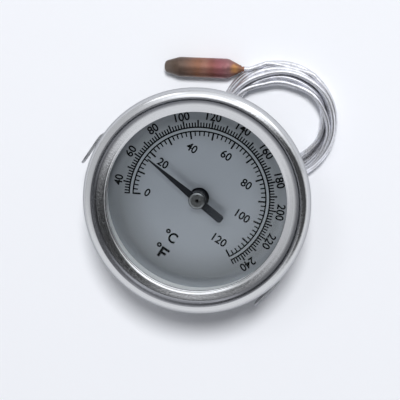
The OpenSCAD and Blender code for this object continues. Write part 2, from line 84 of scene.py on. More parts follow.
def add(tree, kind, *values, **settings):
    """Adds a node and gives back its first output. A shading node's kind is given without its prefix.
    The values go to the node's inputs in their order, and None leaves an input as it is. The settings
    are its properties or, with _ for a space, its inputs by name. A value that is a socket is linked."""
    node = tree.nodes.new(kind if "Node" in kind else "ShaderNode" + kind)
    pairs = []
    for name, value in settings.items():
        if hasattr(node, name):
            setattr(node, name, value)
        else:
            pairs.append((node.inputs[name.replace("_", " ")], value))
    pairs += zip([socket for socket in node.inputs if socket.enabled], values)
    for socket, value in pairs:
        if isinstance(value, bpy.types.NodeSocket):
            tree.links.new(value, socket)
        elif value is not None:
            socket.default_value = value
    return next((socket for socket in node.outputs if socket.enabled), None)


def per(width):
    """The scale of a pattern whose grains or lines are this many millimetres wide."""
    return 1 / (width * MM)


def material(name):
    """An empty material, its tree and the object coordinates that its patterns follow."""
    mat = bpy.data.materials.new(name)
    mat.use_nodes = True
    mat.node_tree.nodes.clear()
    where = add(mat.node_tree, "TexCoord").node.outputs["Object"]
    return mat, mat.node_tree, where


def finished(mat, **inputs):
    """Ends a material in its surface shader, whose inputs are given by name."""
    tree = mat.node_tree
    add(tree, "OutputMaterial", add(tree, "BsdfPrincipled", **inputs))
    return mat


def polar(tree, where):
    """A position's distance from the gauge's axis, its angle about it and its height."""
    x, y, z = add(tree, "SeparateXYZ", where).node.outputs
    radius = add(tree, "VectorMath", add(tree, "CombineXYZ", x, y), operation="LENGTH")
    return radius, add(tree, "Math", y, x, operation="ARCTAN2"), z


def spun(tree, where, width, round_about):
    """Fine lines that run round the axis, as a lathe or a polishing belt leaves them. They are width apart,
    which is coarser than real ones, so that they show. They change round_about times in each radian."""
    radius, angle, z = polar(tree, where)
    across = add(tree, "Math", radius, per(width), **TIMES)
    around = add(tree, "Math", angle, round_about, **TIMES)
    up = add(tree, "Math", z, per(width), **TIMES)
    return add(tree, "TexNoise", add(tree, "CombineXYZ", across, around, up), Scale=1.0, Detail=3)


def paint(node, mat):
    """Gives a CAD node its material."""
    mesh = nodes[node].data
    mesh.materials.clear()
    mesh.materials.append(mat)


# Camera

# The gauge lies level here and leans in the photograph, so the camera leans instead
TARGET = Vector((0.56, 1.21, 28.0))
TILT = math.radians(12.84)
ROLL = math.radians(56.72)
DISTANCE = 350
PHOTO_PX = 400
FOCAL_PX = 1344.6
SENSOR_W = 36
towards = Vector((0, math.sin(TILT), math.cos(TILT)))
up_dial = (Vector((0, 1, 0)) - towards.y * towards).normalized()
side_dial = up_dial.cross(towards)
right = math.cos(ROLL) * up_dial + math.sin(ROLL) * side_dial
above = math.sin(ROLL) * up_dial - math.cos(ROLL) * side_dial
camera = bpy.data.objects.new("camera", bpy.data.cameras.new("camera"))
scene.collection.objects.link(camera)
facing = Matrix((right, above, towards)).transposed().to_4x4()
camera.matrix_world = Matrix.Translation((TARGET + DISTANCE * towards) * MM) @ facing
camera.data.sensor_width = SENSOR_W
camera.data.lens = SENSOR_W * FOCAL_PX / PHOTO_PX
camera.data.clip_start = 0.01
scene.camera = camera


# Metal, glass and rubber

def bezel_steel():
    """Spun stainless steel, polished to a soft shine with fine lines round it. The belt doesn't reach into
    the groove beside the rolled bead, which stays duller; its darker colour there is painted shade. Slight
    relief rounds the lip on the glass and sharpens the groove's corner, as spinning leaves them."""
    groove_from, groove_full, groove_last, groove_end = 25.5, 26.6, 27.4, 27.9
    back_z, front_z = 27.0, 27.5
    lip_from, lip_end = 24.7, 24.12
    bend_from, corner_r, corner_end = 26.0, 26.33, 26.85
    lip_bend, corner_bend, corner_slope = -560.0, -740.0, -0.54
    mat, tree, where = material("polished_stainless")
    radius, angle, z = polar(tree, where)
    lines = spun(tree, where, 1 / 9, 0.6)
    specks = add(tree, "TexNoise", where, Scale=per(0.526), Detail=3, Roughness=0.6)
    steel = add(tree, "Mix", add(tree, "MapRange", lines, 0.3, 0.7, **SMOOTH),
                linear("#c6c7c9"), linear("#d1d2d4"), **COLOUR)
    inner = add(tree, "MapRange", radius, groove_from * MM, groove_full * MM, **SMOOTH)
    outer = add(tree, "MapRange", radius, groove_end * MM, groove_last * MM, **SMOOTH)
    on_front = add(tree, "MapRange", z, back_z * MM, front_z * MM, **SMOOTH)
    # dull marks the groove beside the bead: rougher there, and painted shade darkens its colour
    dull = add(tree, "Math", add(tree, "Math", inner, outer, **TIMES), on_front, **TIMES)
    rough = add(tree, "Math", add(tree, "MapRange", lines, 0.3, 0.75, 0.11, 0.17, **SMOOTH),
                add(tree, "MapRange", specks, 0.4, 0.8, 0.0, 0.08, **SMOOTH), **PLUS)

    def rounded(first, last, bend):
        """Relief whose slope grows from one radius to the other, and which is level past it. Its height is
        bend times the square of the way, in metres."""
        low, high = min(first, last) * MM, max(first, last) * MM
        along = add(tree, "Math", add(tree, "Clamp", radius, low, high), first * MM, **MINUS)
        return add(tree, "Math", add(tree, "Math", along, along, **TIMES), bend, **TIMES)

    lip = rounded(lip_from, lip_end, lip_bend)
    held = add(tree, "Clamp", radius, corner_r * MM, corner_end * MM)
    past_corner = add(tree, "Math", held, corner_r * MM, **MINUS)
    corner = add(tree, "Math", past_corner, corner_slope, rounded(bend_from, corner_r, corner_bend),
                 **TIMES_PLUS)
    shape = add(tree, "Math", add(tree, "Math", lip, corner, **PLUS), on_front, **TIMES)
    fine = add(tree, "Math", lines, 0.004 * MM, add(tree, "Math", specks, 0.016 * MM, **TIMES), **TIMES_PLUS)
    relief = add(tree, "Math", fine, shape, **PLUS)
    # The groove's dark grey is painted shade
    return finished(mat, Base_Color=add(tree, "Mix", dull, steel, linear("#727377"), **COLOUR),
                    Roughness=add(tree, "Math", dull, 0.06, rough, **TIMES_PLUS), Metallic=1.0,
                    Specular_Tint=linear("#a8a8a8"), Normal=add(tree, "Bump", Height=relief, Distance=1.0))


def case_steel():
    """Deep-drawn bright steel: faint lines round it from the die, and cloudy marks from handling."""
    mat, tree, where = material("drawn_steel")
    lines = spun(tree, where, 1 / 3, 0.3)
    marks = add(tree, "TexNoise", where, Scale=per(5.56), Detail=4, Roughness=0.7)
    return finished(mat, Base_Color=add(tree, "Mix", marks, linear("#a4a6a8"), linear("#c2c3c5"), **COLOUR),
                    Roughness=add(tree, "MapRange", marks, 0.3, 0.7, 0.24, 0.4, **SMOOTH), Metallic=1.0,
                    Normal=add(tree, "Bump", Height=lines, Distance=0.03 * MM, Strength=0.4))


def window_glass():
    """Clear flat window glass, drawn smooth. It mirrors a little, and more where it is seen at a slant, with
    faint smears. Light and shadow rays go straight through."""
    mirrored_share = 0.16
    mat, tree, where = material("window_glass")
    smear = add(tree, "TexNoise", where, Scale=per(11.1), Detail=3, Roughness=0.6)
    clear = add(tree, "BsdfTransparent", Color=linear("#fafbfb"))
    mirror = add(tree, "BsdfGlossy", Color=linear("#ffffff"),
                 Roughness=add(tree, "MapRange", smear, 0.35, 0.75, 0.02, 0.06, **SMOOTH))
    shadow = add(tree, "LightPath").node.outputs["Is Shadow Ray"]
    behind = add(tree, "NewGeometry").node.outputs["Backfacing"]
    unseen = add(tree, "Math", shadow, behind, operation="MAXIMUM")
    seen = add(tree, "Math", 1.0, unseen, **MINUS)
    strength = add(tree, "Math", seen, mirrored_share, **TIMES)
    amount = add(tree, "Math", add(tree, "Fresnel", IOR=1.5), strength, **TIMES)
    add(tree, "OutputMaterial", add(tree, "MixShader", amount, clear, mirror))
    return mat


def plain(name, colour, other, rough, metallic, blotch, relief=0.01, turned=None):
    """A finish of two close tones in blotches, which are also a little rougher or smoother. Its relief is
    fine grain or, where turned says how far apart they are, the lines of a lathe."""
    mat, tree, where = material(name)
    patch = add(tree, "TexNoise", where, Scale=per(blotch), Detail=4, Roughness=0.6)
    tone = add(tree, "MapRange", patch, 0.3, 0.7, **SMOOTH)
    grain = spun(tree, where, turned, 0.4) if turned else add(tree, "TexNoise", where, Scale=per(blotch / 6))
    return finished(mat, Base_Color=add(tree, "Mix", tone, linear(colour), linear(other), **COLOUR),
                    Roughness=add(tree, "MapRange", patch, 0.3, 0.7, rough - 0.05, rough + 0.06, **SMOOTH),
                    Metallic=metallic,
                    Normal=add(tree, "Bump", Height=grain, Distance=relief * MM, Strength=0.5))


def tinned_tube():
    """Tinned copper tube, drawn bright: silver grey, with slightly duller patches."""
    mat, tree, where = material("tinned_copper_tube")
    patch = add(tree, "TexNoise", where, Scale=per(3.33), Detail=3, Roughness=0.6)
    grain = add(tree, "TexNoise", where, Scale=per(1 / 3))
    dull = add(tree, "MapRange", patch, 0.35, 0.7, **SMOOTH)
    return finished(mat, Base_Color=add(tree, "Mix", dull, linear("#e8e9f0"), linear("#cfcfd2"), **COLOUR),
                    Roughness=add(tree, "MapRange", patch, 0.3, 0.7, 0.16, 0.28, **SMOOTH), Metallic=0.85,
                    Normal=add(tree, "Bump", Height=grain, Distance=0.004 * MM, Strength=0.3))


# The tint of the bulb from its nose to its neck, at shares of its length
BULB_TINTS = [(0.0, "#70665f"), (0.15, "#5b4c42"), (0.26, "#67554b"), (0.36, "#7a5d4f"), (0.46, "#8b614c"),
              (0.54, "#956a5c"), (0.64, "#85524b"), (0.74, "#935a60"), (0.84, "#966b6c"), (0.93, "#936852")]


def bulb_copper():
    """Swaged copper that was heated as its neck was brazed: brown at the nose, orange in the middle, crimson
    towards the neck, with an orange-yellow painted highlight on top of the neck. Brown stains lie over it."""
    # A painted highlight: an orange-yellow spot on the top of the neck
    highlight_at = BULB_END + BULB_DIR * -1.7 + Vector((0, 0, 1.6))
    highlight_r, highlight_core = 1.6, 0.5
    mat, tree, where = material("heat_tinted_copper")
    from_end = add(tree, "VectorMath", where, BULB_END * MM, **MINUS)
    along = add(tree, "VectorMath", from_end, BULB_DIR, operation="DOT_PRODUCT")
    ripple = add(tree, "TexNoise", where, Scale=per(3.85), Detail=4, Roughness=0.65)
    wander = add(tree, "Math", add(tree, "Math", ripple, 0.5, **MINUS), 4 * MM, **TIMES)
    place = add(tree, "Math", add(tree, "Math", along, wander, **PLUS), BULB_LENGTH * MM, **PLUS)
    share = add(tree, "Math", place, BULB_LENGTH * MM, operation="DIVIDE", use_clamp=True)
    tint = add(tree, "ValToRGB", share)
    ramp = tint.node.color_ramp.elements
    while len(ramp) < len(BULB_TINTS):
        ramp.new(0.5)
    for element, (position, colour) in zip(ramp, BULB_TINTS):
        element.position = position
        element.color = linear(colour)
    blots = add(tree, "TexNoise", where, Scale=per(1.43), Detail=4, Roughness=0.7)
    stain = add(tree, "MapRange", blots, 0.45, 0.75, 0.0, 0.35, **SMOOTH)
    brown = add(tree, "Mix", stain, tint, linear("#584640"), **COLOUR)
    far = add(tree, "VectorMath", where, highlight_at * MM, operation="DISTANCE")
    neck_highlight = add(tree, "MapRange", add(tree, "Math", far, wander, **PLUS), highlight_r * MM, highlight_core * MM,
                0.0, 0.65, **SMOOTH)
    uneven = add(tree, "TexNoise", where, Scale=per(1.11), Detail=3)
    dents = add(tree, "TexNoise", where, Scale=per(0.556), Detail=3)
    # The neck's painted highlight is mixed over the tints here
    return finished(mat, Base_Color=add(tree, "Mix", neck_highlight, brown, linear("#cb9458"), **COLOUR),
                    Roughness=add(tree, "MapRange", uneven, 0.3, 0.7, 0.34, 0.46, **SMOOTH), Metallic=0.65,
                    Normal=add(tree, "Bump", Height=dents, Distance=0.03 * MM, Strength=0.5))


def turned_cap():
    """Turned grey metal: rings from the tool, and a rounded edge that catches the light on a paler shoulder,
    which is a painted highlight. Its near-black side and the dark dimple in the middle are painted shade."""
    dimple_r, dimple_end = 0.38, 0.55
    pale_from, pale_full, pale_last = 1.6, 1.8, 2.1
    bend_from, side_from, side_r = 1.65, 2.08, 2.2
    edge_bend = -700.0
    mat, tree, where = material("turned_cap")
    radius = polar(tree, where)[0]
    rings = spun(tree, where, 0.25, 0.4)
    face = add(tree, "Mix", rings, linear("#58595a"), linear("#68696a"), **COLOUR)
    # Painted highlight: a paler ring on the shoulder, where the rounded edge shines
    shoulder_highlight = add(tree, "Math", add(tree, "MapRange", radius, pale_from * MM, pale_full * MM, **SMOOTH),
                   add(tree, "MapRange", radius, side_r * MM, pale_last * MM, **SMOOTH), **TIMES)
    face = add(tree, "Mix", shoulder_highlight, face, linear("#86888a"), **COLOUR)
    # Painted shade: the cap's side is made near black
    side = add(tree, "MapRange", radius, side_from * MM, side_r * MM, 0.0, 0.95, **SMOOTH)
    face = add(tree, "Mix", side, face, linear("#17181a"), **COLOUR)
    # Painted shade: the dimple in the middle is made near black
    dimple = add(tree, "MapRange", radius, dimple_end * MM, dimple_r * MM, **SMOOTH)
    outward = add(tree, "Math", add(tree, "Math", radius, bend_from * MM, **MINUS), 0.0, operation="MAXIMUM")
    edge = add(tree, "Math", add(tree, "Math", outward, outward, **TIMES), edge_bend, **TIMES)
    relief = add(tree, "Math", rings, 0.006 * MM, edge, **TIMES_PLUS)
    return finished(mat, Base_Color=add(tree, "Mix", dimple, face, linear("#0c0c0d"), **COLOUR),
                    Metallic=1.0, Roughness=0.24, Normal=add(tree, "Bump", Height=relief, Distance=1.0))


# Paint and ink

# Radii of the two arcs of the scale, and the angle from 12 o'clock to each end of it
C_RADIUS, F_RADIUS = 17.78, 18.83
SCALE_END = 120


def dial_paint():
    """Sprayed grey metallic paint under a thin lacquer: lighter inside the scale, with a pale line between
    the scale's arcs, and lighter near the rim, which is painted light against the shade of the bezel's lip.
    Its flakes give a fine grain, drawn coarser than real ones so that it shows."""
    light_end, dark_from = 12.5, 21.5
    rim_from, rim_full = 21.2, 23.4
    gap_r, half_gap = 18.3, 0.4
    mat, tree, where = material("dial_paint")
    radius, angle, z = polar(tree, where)
    grain = add(tree, "TexNoise", where, Scale=per(0.2))
    cloud = add(tree, "TexNoise", where, Scale=per(16.7))
    outside = add(tree, "MapRange", radius, light_end * MM, dark_from * MM, **SMOOTH)
    grey = add(tree, "Mix", outside, linear("#a2a7af"), linear("#8a8e93"), **COLOUR)
    # Painted light: the paint is lighter near the rim, which offsets the shade of the bezel's lip
    painted_rim_light = add(tree, "MapRange", radius, rim_from * MM, rim_full * MM, 0.0, 0.8, **SMOOTH)
    grey = add(tree, "Mix", painted_rim_light, grey, linear("#a5a9af"), **COLOUR)
    from_twelve = add(tree, "Math", add(tree, "Math", angle, math.pi / 2, **MINUS), math.pi, -math.pi,
                      operation="WRAP")
    in_scale = add(tree, "MapRange", add(tree, "Math", from_twelve, operation="ABSOLUTE"),
                   math.radians(SCALE_END + 0.5), math.radians(SCALE_END - 0.5), **SMOOTH)
    between_arcs = add(tree, "Math", radius, gap_r * MM, half_gap * MM, operation="COMPARE")
    pale = add(tree, "Math", in_scale, between_arcs, **TIMES)
    grey = add(tree, "Mix", pale, grey, linear("#9da2a8"), **COLOUR)
    clouded = add(tree, "MapRange", cloud, 0.3, 0.7, 0.0, 0.15, **SMOOTH)
    grey = add(tree, "Mix", clouded, grey, linear("#8c9198"), **COLOUR)
    flakes = add(tree, "Math", grain, 0.08, **TIMES)
    return finished(mat, Base_Color=add(tree, "Mix", flakes, grey, linear("#5e6268"), **COLOUR),
                    Metallic=0.8, Roughness=0.42, Coat_Weight=0.7, Coat_Roughness=0.13, Coat_IOR=1.6,
                    Normal=add(tree, "Bump", Height=grain, Distance=0.008 * MM, Strength=0.4))


def dial_print():
    """Black screen-printing ink, matt and nearly even."""
    mat, tree, where = material("printed_ink")
    patch = add(tree, "TexNoise", where, Scale=per(0.417), Detail=3)
    return finished(mat, Base_Color=add(tree, "Mix", patch, linear("#040506"), linear("#090a0c"), **COLOUR),
                    Roughness=0.5, Specular_IOR_Level=0.06)


def pointer_enamel():
    """Black stove enamel on a thin stamped strip, whose sheared edges are painted paler as a faint highlight.
    It is paler towards its tail."""
    boss_r, past_boss_r = 2.3, 2.6
    half_w, half_tip = 1.05, 0.2
    pale_tail_from, pale_tail_full = -2.0, -5.5
    mat, tree, where = material("pointer_enamel")
    patch = add(tree, "TexNoise", where, Scale=per(1.11), Detail=3)
    angle = math.radians(POINTER_ANGLE)
    sideways = add(tree, "VectorMath", where, (-math.sin(angle), math.cos(angle), 0), operation="DOT_PRODUCT")
    outward = add(tree, "VectorMath", where, (math.cos(angle), math.sin(angle), 0), operation="DOT_PRODUCT")
    half = add(tree, "MapRange", outward, 0.0, POINTER_REACH * MM, half_w * MM, half_tip * MM, **SMOOTH)
    across = add(tree, "Math", add(tree, "Math", sideways, operation="ABSOLUTE"), half, operation="DIVIDE")
    past_boss = add(tree, "MapRange", polar(tree, where)[0], boss_r * MM, past_boss_r * MM, **SMOOTH)
    # Painted highlight: a paler grey along both edges of the blade, past the boss
    edge = add(tree, "Math", add(tree, "MapRange", across, 0.8, 0.98, 0.0, 0.5, **SMOOTH), past_boss, **TIMES)
    enamel = add(tree, "Mix", patch, linear("#0a0c11"), linear("#12151b"), **COLOUR)
    # The enamel is paler towards the tail
    uneven = add(tree, "MapRange", outward, pale_tail_from * MM, pale_tail_full * MM, 0.0, 0.5, **SMOOTH)
    enamel = add(tree, "Mix", uneven, enamel, linear("#2a2d33"), **COLOUR)
    return finished(mat, Base_Color=add(tree, "Mix", edge, enamel, linear("#4a4d52"), **COLOUR),
                    Roughness=0.42, Specular_IOR_Level=0.2,
                    Normal=add(tree, "Bump", Height=patch, Distance=0.01 * MM, Strength=0.4))


# Turned screw steel, bright and even
steel = plain("turned_steel", "#a9aaac", "#c0c1c3", 0.26, 1.0, 2.0)
# Zinc-plated sheet, whose bluish grey is a little cloudy
zinc = plain("zinc_plate", "#a8abaf", "#bcbec2", 0.34, 1.0, 4.17)
# Oiled spring steel, darker than the case
spring = plain("spring_steel", "#8e9094", "#a9abae", 0.28, 1.0, 2.86)
# Turned brass, yellow with the lines of the lathe
brass = plain("turned_brass", "#b08d4a", "#c8a663", 0.28, 1.0, 3.33, relief=0.02, turned=0.4)
# Rolled phosphor bronze, redder than the brass
bronze = plain("rolled_bronze", "#a8703f", "#bb8450", 0.3, 1.0, 3.33)
# Black on the steel bridge and the brass bush: painted shade that keeps the dial's hole dark
hole_shade = plain("painted_hole_shade", "#0b0b0d", "#131416", 0.55, 0.2, 2.5)
# Black rubber, matt
rubber = plain("gasket_rubber", "#141414", "#202020", 0.75, 0.0, 1.43, relief=0.02)
# Moulded white plastic, with a soft shine
spacer = plain("spacer_plastic", "#e4e6e8", "#eeeff0", 0.45, 0.0, 3.33)
tube = tinned_tube()

for names, finish in (
        (["bezel"], bezel_steel()),
        (["glass"], window_glass()),
        (["glass_gasket"], rubber),
        (["spacer_ring"], spacer),
        (["dial"], dial_paint()),
        (["case_cup"], case_steel()),
        (["pointer"], pointer_enamel()),
        (["hub_cap"], turned_cap()),
        (["arbor", "bridge_screws", "clip_rivets"], steel),
        (["back_screws", "movement_plate"], zinc),
        # The bridge and bush are painted black as shade in the dial's hole
        (["bridge", "upper_bush"], hole_shade),
        (["clip_left", "clip_right"], spring),
        (["bourdon_spiral"], bronze),
        (["inner_capillary"], tube),
        (["anchor_block", "pillars", "lower_bearing", "outlet_socket", "socket_nut"], brass),
        (["bulb"], bulb_copper())):
    for name in names:
        paint(name, finish)


# Capillary

# One row for each turn, from the lead inwards and upwards: radius and height at the angles below, in degrees
ANGLES = [-20, 20, 60, 100, 140, 180, 230, 290]
ANGLE_STEP = 10
TURNS = [
    [(16.0, .7), (15.9, .7), (15.9, .7), (16.0, .7), (15.9, .7), (15.6, .7), (15.6, .7), (15.0, .7)],
    [(14.5, .7), (14.5, .7), (14.5, .7), (14.5, .7), (14.3, .7), (14.2, .7), (14.2, .7), (13.6, .7)],
    [(13.0, .7), (13.1, .7), (13.1, .7), (13.0, .7), (12.8, .7), (12.8, .7), (12.6, .8), (12.2, 1.4)],
    [(12.2, 2.0), (12.7, 2.0), (13.0, 2.0), (12.4, 2.0), (12.1, 2.0), (12.2, 2.0), (12.4, 2.0), (13.0, 2.0)],
    [(13.8, 2.0), (14.2, 2.0), (14.4, 2.0), (13.9, 2.0), (13.6, 2.0), (13.6, 2.0), (13.8, 2.0), (14.6, 2.0)],
    [(15.4, 2.0), (15.6, 2.0), (15.8, 2.0), (15.4, 2.0), (15.1, 2.0), (15.0, 2.0), (15.0, 2.3), (14.8, 2.9)],
    [(14.3, 3.4), (14.6, 3.4), (14.9, 3.4), (14.8, 3.4), (14.4, 3.4), (14.0, 3.4), (13.6, 3.4), (12.6, 3.4)],
    [(11.4, 3.4), (12.6, 3.4), (13.4, 3.4), (12.6, 3.3), (12.1, 3.2), (12.2, 3.4), (12.4, 4.0), (14.2, 4.6)],
    [(15.0, 4.7), (14.5, 4.7), (12.9, 4.5), (11.2, 4.1), (10.9, 4.1), (12.8, 4.5), (13.6, 4.7), (14.6, 4.7)],
    [(15.3, 4.7), (15.6, 4.6), (15.3, 4.4), (14.3, 4.4), (13.4, 4.4), (14.0, 4.6), (14.6, 4.4), (15.6, 3.6)],
    [(16.0, 3.4), (16.0, 3.2), (16.0, 3.0), (16.0, 2.8)],
]
# Where the tube leaves the coil for the bulb, and how far it is from the neck's end at its last points
OFF_COIL = [Vector((-3.4, 38.4, 2.8)), Vector((-5.5, 36.3, 2.75))]
AT_BULB = (2.2, 1.2, -0.4)
POINT_STEP = 1.0


def smooth_line(points, step):
    """A Catmull-Rom line through the points, with about the given distance between its points."""
    out = []
    for i in range(len(points) - 1):
        a, b, c, d = (points[max(0, min(k, len(points) - 1))] for k in (i - 1, i, i + 1, i + 2))
        count = max(1, round((c - b).length / step))
        for j in range(count):
            t = j / count
            out.append(0.5 * (2 * b + (c - a) * t + (2 * a - 5 * b + 4 * c - d) * t * t
                              + (3 * b - a - 3 * c + d) * t * t * t))
    out.append(points[-1])
    return out


def coil_points():
    """Points along the turns at even angles. Radius and height ease from each place in a row to the next."""
    keys = []
    for turn, row in enumerate(TURNS):
        keys += [Vector((ANGLES[i] + 360 * turn, r, z)) for i, (r, z) in enumerate(row)]
    points = []
    for b, c in zip(keys, keys[1:]):
        steps = round((c.x - b.x) / ANGLE_STEP)
        for j in range(steps):
            t = j / steps
            eased = ((3 * t * t - 2 * t * t * t) + t) / 2
            angle = math.radians(b.x + (c.x - b.x) * t)
            r = b.y + (c.y - b.y) * eased
            z = b.z + (c.z - b.z) * eased
            points.append(Vector((COIL.x + r * math.cos(angle), COIL.y + r * math.sin(angle), z)))
    return points


route = [Vector(p) for p in LEAD] + coil_points() + OFF_COIL + [BULB_END + BULB_DIR * s for s in AT_BULB]
line = smooth_line(route, POINT_STEP)
curve = bpy.data.curves.new("capillary", "CURVE")
curve.dimensions = "3D"
curve.bevel_depth = CAPILLARY_R * MM
curve.bevel_resolution = 4
curve.use_fill_caps = True
spline = curve.splines.new("POLY")
spline.points.add(len(line) - 1)
for target, point in zip(spline.points, line):
    target.co = (*(point * MM), 1)
spline.use_smooth = True
capillary = bpy.data.objects.new("capillary", curve)
scene.collection.objects.link(capillary)
curve.materials.append(tube)
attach(capillary, "gauge")
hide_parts("capillary_lead", "capillary_coil")


# Dial print

INK = dial_print()
INK_T = 0.02
Z_INK = Z_DIAL + INK_T
Z_MIDDLE = Z_DIAL + INK_T / 2
TEXT_H = 2.26
TEXT_WEIGHT = 0.022
# Widths of a digit, of the 1 and of the gap between two of them
DIGIT_W, ONE_W, DIGIT_GAP = 1.37, 1.0, 0.13
# Distance of the Fahrenheit numbers from the axis, and that of the first and last of them
F_LABEL_R, F_END_LABEL_R = 21.95, 22.1


def printed(name, mesh):
    """Puts a mesh of ink on the dial, as a piece of the gauge."""
    obj = bpy.data.objects.new(name, mesh)
    scene.collection.objects.link(obj)
    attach(obj, "gauge")


def printed_shape(name, bm):
    """Prints a bmesh whose vertices are in millimetres."""
    bmesh.ops.scale(bm, vec=(MM, MM, MM), verts=bm.verts)
    bmesh.ops.recalc_face_normals(bm, faces=bm.faces)
    mesh = bpy.data.meshes.new(name)
    bm.to_mesh(mesh)
    bm.free()
    mesh.materials.append(INK)
    printed(name, mesh)


def made_mesh(maker):
    """The plain mesh that an object's modifier or text makes. The object is removed."""
    bpy.context.view_layer.update()
    mesh = bpy.data.meshes.new_from_object(maker.evaluated_get(bpy.context.evaluated_depsgraph_get()))
    bpy.data.objects.remove(maker)
    return mesh


def tick_group(name, step, shift, radius, short, long, thin, thick, outward):
    """Scale marks by Geometry Nodes: a box for each mark, longer and wider at every fifth, set round the dial
    outwards or inwards of a radius. shift moves the count to the first long mark, and step is in degrees."""
    tree = bpy.data.node_groups.new(name, "GeometryNodeTree")
    tree.interface.new_socket("Geometry", in_out="OUTPUT", socket_type="NodeSocketGeometry")
    for label, value, kind in (
            ("Count", round(2 * SCALE_END / step) + 1, "Int"),
            ("First angle", -SCALE_END, "Float"),
            ("Step", step, "Float"),
            ("Long every", 5, "Int"),
            ("Long shift", shift, "Int"),
            ("Radius", radius * MM, "Float"),
            ("Short length", short * MM, "Float"),
            ("Long length", long * MM, "Float"),
            ("Short width", thin * MM, "Float"),
            ("Long width", thick * MM, "Float")):
        socket = tree.interface.new_socket(label, in_out="INPUT", socket_type="NodeSocket" + kind)
        socket.default_value = value
    sizes = {socket.name: socket for socket in tree.nodes.new("NodeGroupInput").outputs}
    index = add(tree, "GeometryNodeInputIndex")
    counted = add(tree, "Math", add(tree, "Math", index, sizes["Long shift"], **PLUS), sizes["Long every"],
                  operation="MODULO")
    is_long = add(tree, "Math", counted, 0.5, operation="LESS_THAN")
    longer = add(tree, "Math", sizes["Long length"], sizes["Short length"], **MINUS)
    wider = add(tree, "Math", sizes["Long width"], sizes["Short width"], **MINUS)
    length = add(tree, "Math", is_long, longer, sizes["Short length"], **TIMES_PLUS)
    width = add(tree, "Math", is_long, wider, sizes["Short width"], **TIMES_PLUS)
    clockwise = add(tree, "Math", index, sizes["Step"], sizes["First angle"], **TIMES_PLUS)
    turn = add(tree, "Math", add(tree, "Math", 90.0, clockwise, **MINUS), operation="RADIANS")
    middle = add(tree, "Math", length, 0.5 if outward else -0.5, sizes["Radius"], **TIMES_PLUS)
    x = add(tree, "Math", middle, add(tree, "Math", turn, operation="COSINE"), **TIMES)
    y = add(tree, "Math", middle, add(tree, "Math", turn, operation="SINE"), **TIMES)
    points = add(tree, "GeometryNodeMeshLine", Count=sizes["Count"], Offset=(0, 0, 0))
    placed = add(tree, "GeometryNodeSetPosition", Geometry=points,
                 Position=add(tree, "CombineXYZ", x, y, Z_MIDDLE * MM))
    marks = add(tree, "GeometryNodeInstanceOnPoints", Points=placed,
                Instance=add(tree, "GeometryNodeMeshCube"),
                Rotation=add(tree, "CombineXYZ", None, None, turn),
                Scale=add(tree, "CombineXYZ", length, width, INK_T * MM))
    real = add(tree, "GeometryNodeRealizeInstances", marks)
    add(tree, "NodeGroupOutput", add(tree, "GeometryNodeSetMaterial", Geometry=real, Material=INK))
    return tree


def print_ticks(name, tree):
    """Prints the mesh that a node tree makes."""
    maker = bpy.data.objects.new("maker", bpy.data.meshes.new("maker"))
    scene.collection.objects.link(maker)
    maker.modifiers.new("made", "NODES").node_group = tree
    printed(name, made_mesh(maker))


def print_band(name, centre, inner, outer, angles, closed):
    """Prints a thin line round a centre through the given angles, in radians. A closed one joins its ends."""
    bm = bmesh.new()
    section = ((inner, Z_DIAL), (outer, Z_DIAL), (outer, Z_INK), (inner, Z_INK))
    loops = [[bm.verts.new((centre[0] + r * math.cos(a), centre[1] + r * math.sin(a), z)) for r, z in section]
             for a in angles]
    for one, other in zip(loops, loops[1:] + loops[:1] if closed else loops[1:]):
        for k in range(4):
            bm.faces.new((one[k], one[(k + 1) % 4], other[(k + 1) % 4], other[k]))
    if not closed:
        bm.faces.new(loops[0])
        bm.faces.new(list(reversed(loops[-1])))
    printed_shape(name, bm)


def print_arc(name, radius, width, end):
    """Prints an arc from one end angle to the other, in degrees from 12 o'clock."""
    steps = 120
    angles = [math.radians(90 + end - 2 * end * i / steps) for i in range(steps + 1)]
    print_band(name, (0, 0), radius - width / 2, radius + width / 2, angles, False)


def print_degree_ring(name, centre, radius, width):
    """Prints the small ring of a degree sign."""
    steps = 24
    print_band(name, centre, radius - width, radius, [math.tau * i / steps for i in range(steps)], True)


def print_text(name, text, x, y, height, width, turn=0.0, weight=TEXT_WEIGHT):
    """Prints text centred on a point, with the given height and whole width, turned by degrees."""
    font = bpy.data.curves.new(name, "FONT")
    font.body = text
    font.align_x = "CENTER"
    font.size = 1
    font.offset = weight
    font.resolution_u = 6
    font.extrude = 0.5
    maker = bpy.data.objects.new("maker", font)
    scene.collection.objects.link(maker)
    mesh = made_mesh(maker)
    xs = [v.co.x for v in mesh.vertices]
    ys = [v.co.y for v in mesh.vertices]
    wide, tall = max(xs) - min(xs), max(ys) - min(ys)
    to_middle = Matrix.Translation((-(max(xs) + min(xs)) / 2, -(max(ys) + min(ys)) / 2, 0))
    sized = Matrix.Diagonal((width / wide * MM, height / tall * MM, INK_T * MM, 1))
    placed = Matrix.Translation((x * MM, y * MM, Z_MIDDLE * MM)) @ Matrix.Rotation(math.radians(turn), 4, "Z")
    mesh.transform(placed @ sized @ to_middle)
    mesh.materials.clear()
    mesh.materials.append(INK)
    printed(name, mesh)


def text_width(text):
    """The whole width of a number, whose 1 is narrower than its other digits."""
    return sum(ONE_W if digit == "1" else DIGIT_W for digit in text) + DIGIT_GAP * (len(text) - 1)


